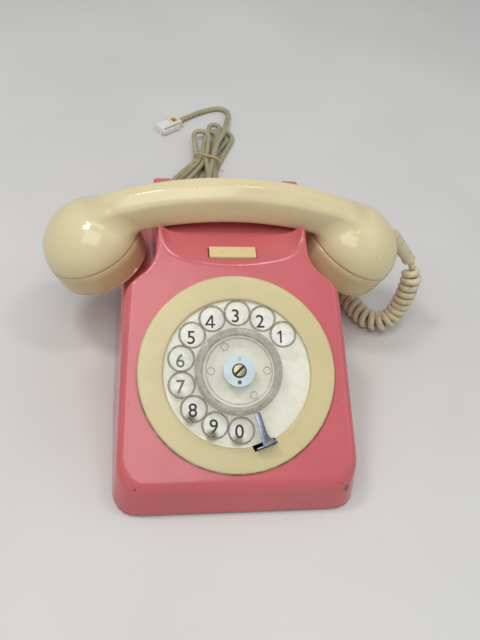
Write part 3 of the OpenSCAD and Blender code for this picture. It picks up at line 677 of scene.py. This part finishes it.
def case_distance(x, y, z):
    """Signed distance to the moulded shell of the case, in millimetres."""
    ax = np.abs(x)
    walls = case_body(ax, y, z)
    gap = np.minimum(np.minimum(GAP_HALF - ax, y - GAP_Y), z - GAP_FLOOR)
    walls = round_max(walls, gap, RIM_R)
    carry = np.minimum(np.minimum(CARRY_HALF - ax, y - CARRY_Y), np.minimum(z - CARRY_Z[0], CARRY_Z[1] - z))
    walls = round_max(walls, carry, CARRY_R)
    posts = np.minimum.reduce([np.hypot(ax - px, y - py) for px, py in BOSSES]) - BOSS_R
    posts = np.maximum.reduce([posts, BOSS_FOOT - z, walls + 1])
    hollow = np.maximum(walls, -(walls + WALL))
    shell = np.maximum(np.minimum(hollow, posts), CASE_LIFT - z)
    ly, lz = y - DIAL.y / MM, z - DIAL.z / MM
    up = ly * math.cos(PANEL_SLOPE) + lz * math.sin(PANEL_SLOPE)
    height = -ly * math.sin(PANEL_SLOPE) + lz * math.cos(PANEL_SLOPE)
    opening = np.minimum(DIAL_HOLE_R - np.hypot(x, up), DIAL_HOLE_REACH - np.abs(height))
    plunger = np.minimum(PLUNGER_HOLE_R - np.hypot(ax - PLUNGER_X, y - CRADLE_Y / MM), z - PLUNGER_FROM)
    button = np.minimum(BUTTON_HOLE[0] - ax, BUTTON_HOLE[1] - np.abs(y - BUTTON.y / MM))
    button = np.minimum(button, z - BUTTON_FROM)
    entries = ENTRY_R - np.hypot(ax - EXIT_CURLY[0] / MM, z - EXIT_CURLY[2] / MM)
    entries = np.minimum(entries, y - ENTRY_FROM)
    return np.maximum.reduce([shell, opening, plunger, button, entries])


def case_body(ax, y, z):
    """Signed distance to the case as a solid, with its trough and hollows; ax is the distance aside."""
    panel = (z - LIP[1]) * math.cos(PANEL_SLOPE) - (y - LIP[0]) * math.sin(PANEL_SLOPE)
    front = past_line(y, z, LIP, (-HALF_DEPTH, CASE_LIFT))
    back = past_line(y, z, (HALF_DEPTH, CASE_LIFT), BACK_EDGE)
    top = np.where(y < TOP_SPLIT, z - FRONT_TOP, z - REAR_TOP)
    half_width = HALF_WIDTH - SIDE_TAPER * np.maximum(y - TAPER_FROM, 0) - SIDE_LEAN * (z - CASE_LIFT)
    side = (ax - half_width) / math.hypot(1, SIDE_LEAN)
    profile = round_max(round_max(panel, front, LIP_R), np.maximum(top, back), 1.6)
    profile = round_max(profile, top, 1.4)
    outline = round_max(side, front, FRONT_CORNER_R)
    outline = round_max(outline, back, BACK_CORNER_R)
    body = round_max(profile, outline, EDGE_R)
    # the trough that the handset's handle lies in
    horn_face = past_line(y, z, (TROUGH_FRONT, TROUGH_HEIGHT), FRONT_HORN_EDGE)
    rear_face = past_line(y, z, REAR_HORN_EDGE, (TROUGH_BACK, TROUGH_HEIGHT))
    trough = -round_max(-np.minimum(horn_face, rear_face), TROUGH_HEIGHT - z, 1.0)
    body = round_max(body, trough, RIM_R)
    # the hollow between the front horns, under the button
    across = np.minimum(ax, SCOOP_REACH)
    aside = across / SCOOP_HALF
    scoop = z - (SCOOP_FLOOR + SCOOP_BOW * across ** 2 + SCOOP_LIP * aside ** SCOOP_POWER)
    slope = 2 * SCOOP_BOW * across + SCOOP_POWER * SCOOP_LIP / SCOOP_HALF * aside ** (SCOOP_POWER - 1)
    scoop = scoop / np.hypot(1, slope) - SCOOP_FADE * np.maximum(y - TROUGH_FRONT, 0)
    body = round_max(body, scoop, RIM_R)
    # the hollows beside the neck, where the handset's ends hang
    floor = ((z - RECESS_FLOOR[1]) * math.cos(RECESS_SLANT)
             + (ax - RECESS_FLOOR[0]) * math.sin(RECESS_SLANT))
    neck = ax - (NECK_HALF + NECK_FORWARD * np.maximum(NECK_Y - y, 0)
                 + NECK_BACK * np.maximum(y - NECK_Y, 0))
    within = np.minimum(y - RECESS_ENDS[0], RECESS_ENDS[1] - y)
    ends = ((ax - RECESS_MOUTH) * END_RISE + within * END_RUN) / math.hypot(END_RISE, END_RUN)
    plan = -round_max(-neck, -ends, RECESS_CORNER_R)
    hollow = -round_max(-plan, -floor, RECESS_FLOOR_R)
    return round_max(body, hollow, RECESS_RIM_R)


CASE_STEP, HANDSET_STEP = 1.25, 1.0  # size of the mesh, in millimetres


def telephone_case(material):
    low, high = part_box("case")
    points, faces = surface_of(case_distance, low / MM, high / MM, CASE_STEP)
    shell = add_mesh("telephone_case", points * MM, faces, material, "telephone")
    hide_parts("case")


pink = moulded_plastic("pink_plastic", PINK, 0.17, DIRT, 0.4, 1.08, line=(0.0562, 0.0009, 0.02),
                       chips=[((0.0616, -0.1008, 0.0180), 0.0011, 0.0042)])
telephone_case(pink)


# ---- handset ----

# Sizes of the handset in millimetres. The handle is part of a ring about HANDLE_CENTRE_Z
HANDLE_R, HANDLE_CENTRE_Z = 204, -86.2
TOP_HALF, BEVEL_TILT = 3.5, math.radians(40.2)
CHEEK_R, CHEEK_HALF, CHEEK_TILT = 198, 10.6, math.radians(75.6)
BELLY_R, BELLY_HALF, BELLY_TILT = 191, 12.4, math.radians(80.1)
UNDER_R, HANDLE_END = 180, math.radians(25.6)
CUP = Vector((82, CRADLE_Y / MM, 69.4))
CUP_R, DOME_H, CUP_TILT = 30.2, 26.5, math.radians(23)
FACET_R, BELLY_ROUND, UNDER_ROUND, END_ROUND, SEAM_R, FILLET_R = 0.6, 6, 4.0, 16, 0.8, 7
TINY = 1e-6


def facet(outward, sideways, tilt):
    """Distance past a long flat of the handle, tilted from facing up to facing aside."""
    return outward * math.cos(tilt) + sideways * math.sin(tilt)


def handset_distance(x, y, z):
    """Signed distance to the handle and its two domed ends, in millimetres."""
    ax, v = np.abs(x), np.abs(y - CUP.y)
    rho = np.hypot(x, z - HANDLE_CENTRE_Z)
    turn = np.arctan2(ax, z - HANDLE_CENTRE_Z)
    top = rho - HANDLE_R
    bevel = facet(top, v - TOP_HALF, BEVEL_TILT)
    cheek = facet(rho - CHEEK_R, v - CHEEK_HALF, CHEEK_TILT)
    belly = facet(BELLY_R - rho, v - BELLY_HALF, BELLY_TILT)
    handle = round_max(round_max(top, bevel, FACET_R), cheek, FACET_R)
    handle = round_max(round_max(handle, belly, BELLY_ROUND), UNDER_R - rho, UNDER_ROUND)
    handle = round_max(handle, (turn - HANDLE_END) * HANDLE_R, END_ROUND)
    dx, dz = ax - CUP.x, z - CUP.z
    u = np.hypot(dx * math.cos(CUP_TILT) - dz * math.sin(CUP_TILT), v)
    w = dx * math.sin(CUP_TILT) + dz * math.cos(CUP_TILT)
    reach = np.hypot(u / CUP_R, w / DOME_H)
    grade = np.hypot(u / CUP_R ** 2, w / DOME_H ** 2) / np.maximum(reach, TINY)
    dome = round_max((reach - 1) / np.maximum(grade, TINY), -w, SEAM_R)
    return round_min(handle, dome, FILLET_R)


def cup_place(side):
    return (Matrix.Translation(Vector((side * CUP.x, CUP.y, CUP.z)) * MM)
            @ Matrix.Rotation(side * CUP_TILT, 4, "Y"))


def handset(material):
    low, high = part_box("handset_body")
    points, faces = surface_of(handset_distance, low / MM, high / MM, HANDSET_STEP)
    body = add_mesh("handset_moulding", points * MM, faces, material, "handset")
    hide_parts("handset_body")


def cap_profile():
    """Outline of a screwed cap, from its inner edge at the seam round to its face."""
    r = CUP_R * MM
    outer = [(r - 0.0031, 0.0), (r - 0.0012, 0.0), (r - 0.0004, -0.0006), (r, -0.0014)]
    outer += [(r - 0.0006 * t - 0.0007 * t * t, -0.0014 - 0.0136 * t) for t in (0.25, 0.5, 0.75, 1.0)]
    outer += [(r - 0.0019, -0.0153), (r - 0.0020, -0.0156), (r - 0.0015, -0.0160), (r - 0.0017, -0.0168)]
    outer += [(r - 0.0017 - 0.0045 * (1 - math.cos(a)), -0.0168 - 0.0021 * math.sin(a))
              for a in np.linspace(0.2, QUARTER_TURN, 6)]
    inner = [(0.012, -0.0182), (0.0, -0.0176), (0.0, -0.0150), (r - 0.0066, -0.0158), (r - 0.0032, -0.014)]
    return outer + inner


# each sound hole is a shallow near-black dot on the cap's face: painted shade where an opening would look
# dark
SOUND_PITCH, SOUND_SIDES = 0.0045, 16
SOUND_PROFILE = [(0, -0.0180), (0.0011, -0.0180), (0.0013, -0.0186), (0.0011, -0.0188), (0, -0.0184)]


def cap(side, node, rings, material, hole):
    """A cap of the handset, with rings of so many sound holes from its middle out: near-black dots, painted
    shade in place of openings.
    """
    place = cup_place(side)
    piece = lathe(node + "_moulding", cap_profile(), place, material, "handset")
    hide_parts(node)
    for ring, count in enumerate(rings):
        for k in range(count):
            a = 2 * math.pi * k / count
            x, y = ring * SOUND_PITCH * math.cos(a), ring * SOUND_PITCH * math.sin(a)
            at = place @ Matrix.Translation((x, y, 0))
            dot = lathe(f"{node}_hole_{ring}_{k}", SOUND_PROFILE, at, hole, "handset", SOUND_SIDES)


ivory = moulded_plastic("ivory_plastic", IVORY, 0.14, rgb(120, 92, 60), 0.7, 1.05)
cap_ivory = moulded_plastic("ivory_cap_plastic", rgb(208, 188, 142), 0.17, rgb(120, 86, 50), 0.8, 1.08)
# near-black of the sound holes: painted shade, as no opening is cut
hole_shade_black = dull("painted_hole_shade", rgb(22, 20, 18), 0.8)
handset(ivory)
cap(-1, "ear_cap", [1, 6, 12], cap_ivory, hole_shade_black)
cap(1, "mouth_cap", [1, 6], cap_ivory, hole_shade_black)


# ---- dial ----

FIRST_HOLE = math.radians(38.8)
HOLE_STEP = 2 * math.pi / 14
HOLE_CIRCLE, HOLE_R = 0.0326, 0.0064
PLATE_R, PLATE_LOW, PLATE_HIGH = 0.0405, 0.0055, 0.0080
RING_INNER, RING_OUTER, RING_TOP = 0.0417, 0.0560, 0.0027
RING_SEAT, RING_FOOT = 0.04575, -0.0022  # the part that sits in the panel's opening
RING_INNER_ROUND, RING_OUTER_ROUND = 0.0009, 0.0014
STOP_LOW, STOP_THICK, STOP_ANGLE = 0.0092, 0.0009, math.radians(289)
DISC_TOP, INK = 0.00066, 0.00006  # where the digits are, and half their thickness
DIGITS = "1234567890"
FOUR = [[(0.0013, 0.0037), (0.0003, 0.0037), (-0.0031, -0.0014), (-0.0031, -0.0022), (0.0003, -0.0022),
         (0.0003, -0.0037), (0.0013, -0.0037), (0.0013, -0.0022), (0.0025, -0.0022), (0.0025, -0.0013),
         (0.0013, -0.0013)],
        [(0.0004, 0.0021), (-0.0019, -0.0013), (0.0004, -0.0013)]]
ONE = [(0.0002, 0.0036), (-0.0016, 0.0022), (-0.0016, 0.0011), (-0.0003, 0.0021), (-0.0003, -0.0036),
       (0.0007, -0.0036), (0.0007, 0.0036)]


DRAWN_DIGITS = {"1": [ONE], "4": FOUR}  # the others come from the built-in letter shapes
WORN_DIGITS = "67"
PIP_CIRCLE = 0.0156


def hole_places():
    """The middle of each finger hole, from 1 to 0."""
    for i in range(len(DIGITS)):
        a = FIRST_HOLE + i * HOLE_STEP
        yield HOLE_CIRCLE * math.cos(a), HOLE_CIRCLE * math.sin(a)


def dial_ring(material):
    profile = [(RING_INNER, RING_FOOT), (RING_INNER, RING_TOP - RING_INNER_ROUND)]
    profile += [(RING_INNER + RING_INNER_ROUND * (1 - math.cos(a)),
                 RING_TOP - RING_INNER_ROUND * (1 - math.sin(a)))
                for a in np.linspace(0.3, QUARTER_TURN, 5)]
    profile += [(0.0445, 0.00262), (0.0470, 0.00245), (0.0500, 0.0024), (0.0530, 0.00225)]
    profile += [(RING_OUTER - RING_OUTER_ROUND * (1 - math.sin(a)), 0.0007 + RING_OUTER_ROUND * math.cos(a))
                for a in np.linspace(0, QUARTER_TURN, 7)]
    profile += [(RING_OUTER, 0.00005), (RING_SEAT, 0.00005), (RING_SEAT, RING_FOOT)]
    ring = lathe("dial_ring_moulding", profile, ON_PANEL, material, "telephone", 256)
    slot = box_outline(0.0405, -0.0068, 0.0443, 0.0068)
    cutter = plate("cutter", [slot], -0.006, 0.006, ON_PANEL @ Matrix.Rotation(STOP_ANGLE, 4, "Z"),
                   material, None, 0.0001, 0)
    cut = ring.modifiers.new("stop_slot", "BOOLEAN")
    cut.operation, cut.object, cut.solver = "DIFFERENCE", cutter, "EXACT"
    mesh = bpy.data.meshes.new_from_object(ring.evaluated_get(bpy.context.evaluated_depsgraph_get()))
    ring.modifiers.clear()
    ring.data = mesh
    bpy.data.objects.remove(cutter)
    smooth_by_angle(ring)
    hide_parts("dial_ring")


def printed_white(name, low, high):
    """The white of the number plate, with brown grime below the lower holes."""
    g = Graph(name)
    tone = g.mix(g.ramp(g.noise(110, 4), 0.3, 0.7), low, high)
    tone = g.mix(g.times(g.ramp(g.noise(900, 3), 0.5, 0.75), 0.25), tone, rgb(190, 188, 160))
    grime = None
    for i, amount in ((6, 0.5), (7, 1.0), (8, 1.0), (9, 0.8)):
        a = FIRST_HOLE + i * HOLE_STEP
        below_hole = (HOLE_CIRCLE * math.cos(a) - 0.0010, HOLE_CIRCLE * math.sin(a) - 0.0052, 0)
        point = ON_PANEL @ Vector(below_hole)
        spot = g.times(g.near(tuple(point), 0.0010, 0.0050), g.ramp(g.noise(1300, 4), 0.26, 0.50))
        spot = g.times(spot, amount)
        grime = spot if grime is None else g.most(grime, spot)
    tone = g.mix(grime, tone, rgb(112, 88, 48))
    return g.finish(base_color=tone, roughness=0.42, normal=g.bump(g.noise(600, 3), 0.08, 0.0002))


def number_discs(material):
    for digit, (x, y) in zip(DIGITS, hole_places()):
        place = ON_PANEL @ Matrix.Translation((x, y, 0))
        profile = [(0, 0.0001), (0, 0.0006), (0.0056, 0.00055), (0.0060, 0.0003), (0.0061, 0.0001)]
        disc = lathe("number_disc_" + digit, profile, place, material, "telephone", 48, closed=False)


def digit_mesh(digit):
    """The outline of a digit, filled, around its own middle."""
    data = bpy.data.curves.new("digit_" + digit, "FONT")
    data.body, data.size = digit, 0.0107
    data.extrude, data.offset = INK, INK
    text = bpy.data.objects.new("digit_shape", data)
    bpy.context.scene.collection.objects.link(text)
    mesh = bpy.data.meshes.new_from_object(text.evaluated_get(bpy.context.evaluated_depsgraph_get()))
    bpy.data.objects.remove(text)
    bpy.data.curves.remove(data)
    corners = np.array([v.co for v in mesh.vertices])
    middle = (corners.min(0) + corners.max(0)) / 2
    mesh.transform(Matrix.Translation((-middle[0], -middle[1], 0)))
    return mesh


def digits(material, worn):
    for digit, (x, y) in zip(DIGITS, hole_places()):
        place = ON_PANEL @ Matrix.Translation((x, y, DISC_TOP))
        ink = worn if digit in WORN_DIGITS else material
        if digit in DRAWN_DIGITS:
            piece = plate("digit_" + digit, DRAWN_DIGITS[digit], -INK, INK, place, ink, "telephone",
                          0.00001, 0)
        else:
            mesh = digit_mesh(digit)
            mesh.transform(place)
            mesh.materials.clear()
            piece = make_piece("digit_" + digit, mesh, ink, "telephone")


EDGE_ON = 0.6  # faces of the finger plate that face less upward than this are its edges


def finger_plate(film, side, wall):
    """Clear finger plate: a disc with ten holes, a rim at each, a raised band, a thin ring inside it and
    four pips.
    """
    holes = [circle(HOLE_R, 48, c) for c in hole_places()]
    disc = plate("finger_plate_disc", [circle(PLATE_R, 160)] + holes, PLATE_LOW, PLATE_HIGH,
                 ON_PANEL, film, "dial rotor", 0.0004, 3)
    disc.data.materials.append(side)
    upward = ON_PANEL.to_3x3() @ Vector((0, 0, 1))
    for face in disc.data.polygons:
        face.material_index = 1 if abs(face.normal.dot(upward)) < EDGE_ON else 0
    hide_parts("finger_plate")

    def turned(name, profile, place, segments, closed=False):
        lathe(name, profile, place, wall, "dial rotor", segments, closed)

    for digit, (x, y) in zip(DIGITS, hole_places()):
        rim = [(HOLE_R + 0.0001 + 0.0006 * (1 + math.cos(a)), PLATE_HIGH + 0.0001 + 0.0005 * math.sin(a))
               for a in np.linspace(0, 2 * math.pi, 10, endpoint=False)]
        turned("finger_hole_rim_" + digit, rim, ON_PANEL @ Matrix.Translation((x, y, 0)), 48, True)
    h = PLATE_HIGH
    band = [(0.0199, h - 0.0016), (0.0201, h + 0.0003), (0.0206, h + 0.0009), (0.0212, h + 0.0010),
            (0.0234, h + 0.0009), (0.0240, h + 0.0005), (0.0245, h - 0.0003), (0.0247, h - 0.0016)]
    turned("finger_plate_band", band, ON_PANEL, 160)
    lip = [(0.0181, h + 0.00005), (0.0182, h + 0.0003), (0.0184, h + 0.0004), (0.0186, h + 0.0003),
           (0.0187, h + 0.00005)]
    turned("finger_plate_step", lip, ON_PANEL, 160)
    pip = [(0.0017, h), (0.0018, h + 0.00025), (0.0020, h + 0.00032), (0.0022, h + 0.00025), (0.0023, h)]
    for i, degrees in enumerate((120, 180, 0, 300)):
        turn = Matrix.Rotation(math.radians(degrees), 4, "Z")
        turned(f"finger_plate_pip_{i}", pip, ON_PANEL @ turn @ Matrix.Translation((PIP_CIRCLE, 0, 0)), 32)


def hub_screw(material, dark):
    """A slotted round-head screw on a black disc, which shows through the slot as painted shade on its
    floor and round the head as a dark rim.
    """
    top = PLATE_HIGH + 0.0007
    # black disc under the head: painted shade on the slot's floor, and a dark rim round the head
    dark_disc = [(0.0001, top), (0.0001, top + 0.0004), (0.0038, top + 0.0004), (0.0041, top)]
    lathe("hub_dark_disc", dark_disc, ON_PANEL, dark, "dial rotor", 48)
    slot, radius = 0.00055, 0.0034
    start = math.asin(slot / radius)
    half = [(radius * math.cos(a), radius * math.sin(a)) for a in np.linspace(start, math.pi - start, 24)]
    for turn in (42, 222):
        place = ON_PANEL @ Matrix.Rotation(math.radians(turn), 4, "Z")
        piece = plate(f"hub_screw_half_{turn}", [half], top + 0.0003, top + 0.0013, place, material,
                      "dial rotor")
    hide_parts("hub_screw")


def finger_stop(material):
    outline = [(0.0437, -0.0026), (0.0437, 0.0058), (0.0430, 0.0058), (0.0422, 0.0052), (0.0413, 0.0042),
               (0.0404, 0.0033), (0.0392, 0.0025), (0.0375, 0.0020), (0.0340, 0.0020), (0.0300, 0.0022),
               (0.0256, 0.0024), (0.0248, 0.0018), (0.0246, 0.0007), (0.0248, -0.0004), (0.0256, -0.0010),
               (0.0300, -0.0012), (0.0340, -0.0015), (0.0380, -0.0018), (0.0410, -0.0022)]
    place = ON_PANEL @ Matrix.Rotation(STOP_ANGLE, 4, "Z")
    blade = plate("finger_stop_blade", [outline], STOP_LOW, STOP_LOW + STOP_THICK, place, material,
                  "telephone", 0.0002, 2)
    leg = plate("finger_stop_leg", [box_outline(0.0428, -0.0056, 0.0437, 0.0056)],
                -0.0036, STOP_LOW + 0.0004, place, material, "telephone", 0.0001, 1)
    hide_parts("finger_stop")


ring_plastic = moulded_plastic("ring_plastic", rgb(208, 192, 143), 0.34, rgb(96, 70, 34), 0.5, 1.04,
                               line=(0.0560, 0.0006, 0.02))
clear_film = clear_plastic("clear_film", rgb(206, 206, 186), 0.09, 0.12)
clear_wall = clear_plastic("clear_wall", rgb(132, 130, 112), 0.55, 0.12)
print_black = dull("number_black", rgb(34, 32, 30), 0.5)
polished_steel = metal("polished_steel", rgb(126, 130, 142), 0.22)
dial_ring(ring_plastic)
number_discs(printed_white("number_disc_white", rgb(244, 243, 230), rgb(252, 251, 240)))
digits(print_black, dull("number_worn", rgb(112, 110, 104), 0.5))
finger_plate(clear_film, clear_plastic("clear_side", rgb(170, 168, 148), 0.22, 0.12), clear_wall)
finger_stop(polished_steel)
hub_screw(metal("screw_brass", rgb(170, 160, 128), 0.3, tarnish=0.6), print_black)


# ---- button ----

def bar_button(material):
    """The press button between the horns: a bar with rounded edges."""
    half_x, half_y, corner, foot = 0.0137, 0.0043, 0.0008, 0.0825
    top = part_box("press_button")[1].z
    outline = rounded_box(-half_x, -half_y, half_x, half_y, corner, 5)
    place = Matrix.Translation((BUTTON.x, BUTTON.y, 0))
    bar = plate("press_button_bar", [outline], foot, top, place, material, "press button", 0.0004, 3)
    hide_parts("press_button")


bar_button(moulded_plastic("button_plastic", rgb(222, 200, 146), 0.3, rgb(110, 84, 50), 0.6, 1.08))


# ---- finishes of the CAD nodes that stay ----

zinc = metal("zinc_plated_steel", rgb(168, 168, 160), 0.38)
bright_brass = metal("brass", rgb(190, 160, 92), 0.28)
phenolic = dull("phenolic_board", rgb(150, 112, 66), 0.5)
sleeve_plastic = cord_plastic("sleeve_plastic", rgb(206, 194, 158), CORD_DIRT)
white_plastic = moulded_plastic("white_plastic", rgb(232, 232, 226), 0.25, rgb(120, 110, 90), 0.5)
FINISHES = {
    printed_white("number_plate_print", rgb(238, 236, 216), rgb(250, 248, 234)): ["number_plate"],
    metal("blue_silver_foil", rgb(190, 204, 206), 0.36, 300, tarnish=0.15, metallic=0.2): ["hub_disc"],
    zinc: ["dial_frame", "dial_bracket", "hook_lever", "hook_bracket", "ringer_frame", "gong_screws",
           "base_screws", "bell_hammer"],
    bright_brass: ["dial_spindle", "main_wheel", "pinion_shaft", "governor_cup", "governor_rotor", "gongs"],
    metal("blued_spring_steel", rgb(96, 104, 128), 0.3): ["return_spring"],
    phenolic: ["pulse_contacts", "button_contacts", "hook_contacts", "terminal_block"],
    dull("board_green", rgb(46, 98, 66), 0.4): ["circuit_board"],
    winding("copper_winding", rgb(150, 74, 46)): ["speech_transformer", "ringer_coils"],
    metal("can_aluminium", rgb(190, 194, 200), 0.42): ["capacitor"],
    dull("base_enamel", rgb(40, 40, 40), 0.45, 700): ["base_plate"],
    dull("foot_rubber", rgb(30, 30, 30), 0.75, 900): ["rubber_feet", "cord_grommets"],
    metal("capsule_metal", rgb(128, 128, 126), 0.45): ["receiver_capsule", "transmitter_capsule"],
    white_plastic: ["plunger_left", "plunger_right"],
    sleeve_plastic: ["handset_grip_sleeve"],
}
for finish, names in FINISHES.items():
    for name in names:
        nodes[name].data.materials.clear()
        nodes[name].data.materials.append(finish)


# ---- floor and light ----

def floor():
    g = Graph("pale_floor")
    tone = g.mix(g.ramp(g.noise(3, 3), 0.3, 0.7), rgb(206, 204, 200), rgb(216, 214, 210))
    material = g.finish(base_color=tone, roughness=0.75)
    reach = 3.0
    corners = [(-reach, -reach, 0), (reach, -reach, 0), (reach, reach, 0), (-reach, reach, 0)]
    add_mesh("floor", corners, [(0, 1, 2, 3)], material, None)


def area_light(name, place, aim, size, energy):
    data = bpy.data.lights.new(name, "AREA")
    data.shape, data.size, data.size_y = "RECTANGLE", size[0], size[1]
    data.energy = energy
    light = bpy.data.objects.new(name, data)
    light.location = place
    light.rotation_euler = (Vector(aim) - Vector(place)).to_track_quat("-Z", "Y").to_euler()
    bpy.context.scene.collection.objects.link(light)


def studio():
    world = bpy.data.worlds.new("studio")
    world.use_nodes = True
    sky = world.node_tree.nodes["Background"].inputs
    sky["Color"].default_value = (0.93, 0.96, 1.0, 1)
    sky["Strength"].default_value = 0.47
    bpy.context.scene.world = world
    area_light("soft_key", (-0.25, -0.60, 1.4), (0, 0, 0.05), (1.0, 0.8), 7)
    area_light("window_left", (-0.35, 0.05, 0.9), (0, 0, 0.08), (0.12, 0.16), 1.7)
    area_light("window_right", (0.20, 0.00, 0.9), (0, 0, 0.08), (0.07, 0.16), 0.8)
    area_light("fill_right", (0.8, -0.1, 0.9), (0, 0, 0.05), (0.9, 0.6), 1.0)
    bpy.context.scene.view_settings.view_transform = "Standard"


floor()
studio()
